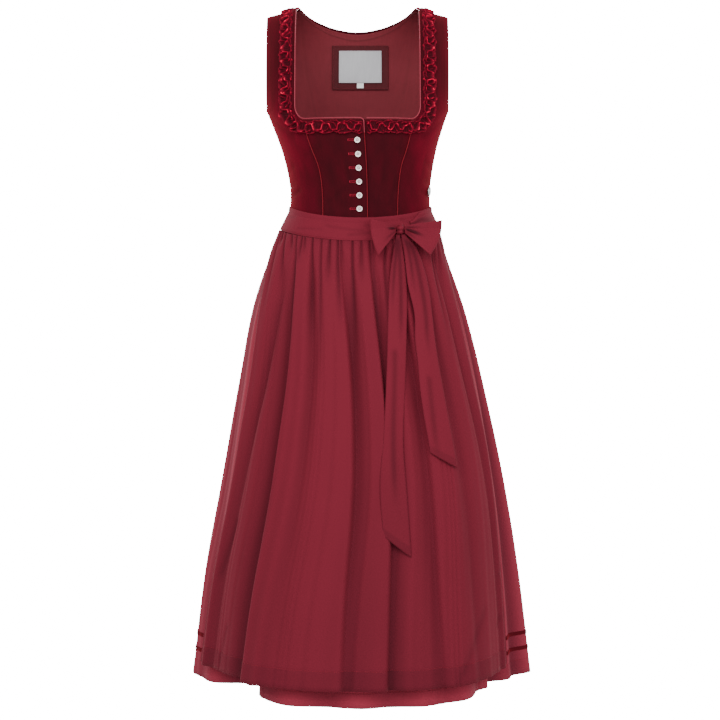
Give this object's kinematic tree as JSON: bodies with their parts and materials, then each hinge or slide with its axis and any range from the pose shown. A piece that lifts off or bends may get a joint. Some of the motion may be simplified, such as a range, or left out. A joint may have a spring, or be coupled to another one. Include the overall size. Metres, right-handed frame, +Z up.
{
  "type": "dirndl",
  "caption": "Sleeveless midi dirndl with a square-necked velvet bodice, a gathered skirt and a tied apron with a bow, held open as worn.",
  "frame": {"origin": "midway between the tops of the two shoulder straps, where a wearer or a hanger carries the dress", "axes": "+Z up along the wearer, -Y to the wearer's front, +X to the wearer's left"},
  "size_m": [0.5693, 0.5073, 1.1216],
  "materials": {
    "velvet": "cotton velvet, soft nap",
    "trim": "ruched satin-edged ribbon",
    "piping": "thin satin piping",
    "lining": "plain woven lining",
    "skirt": "fine matt crepe, slightly sheer",
    "apron": "fine matt crepe",
    "ribbon": "narrow velvet ribbon",
    "label": "woven satin label, bare",
    "button": "pearly, polished",
    "metal": "plain satin metal"
  },
  "bodies": {
    "root": {"side_front_right": "velvet", "side_front_left": "velvet", "side_back_right": "velvet", "side_back_left": "velvet", "centre_back": "velvet", "centre_front_right": "velvet", "centre_front_left": "velvet", "back_lining": "lining", "label_patch": "velvet", "label": "label", "size_tag": "label", "neck_trim_right": "trim", "neck_trim_left": "trim", "neck_piping_right": "piping", "neck_piping_left": "piping", "front_piping_right": "piping", "front_piping_left": "piping", "placket_piping": "piping", "side_button": "metal", "skirt_front": "skirt", "skirt_back": "skirt", "ribbon_lower": "ribbon", "ribbon_upper": "ribbon", "apron": "apron", "apron_band": "apron", "tie_back": "apron", "tie_left": "apron", "bow_knot": "apron", "bow_loop_right": "apron", "bow_loop_left": "apron", "bow_tail_right": "apron", "bow_tail_left": "apron", "button_1": "button", "button_2": "button", "button_3": "button", "button_4": "button", "button_5": "button", "button_6": "button"}
  },
  "joints": []
}
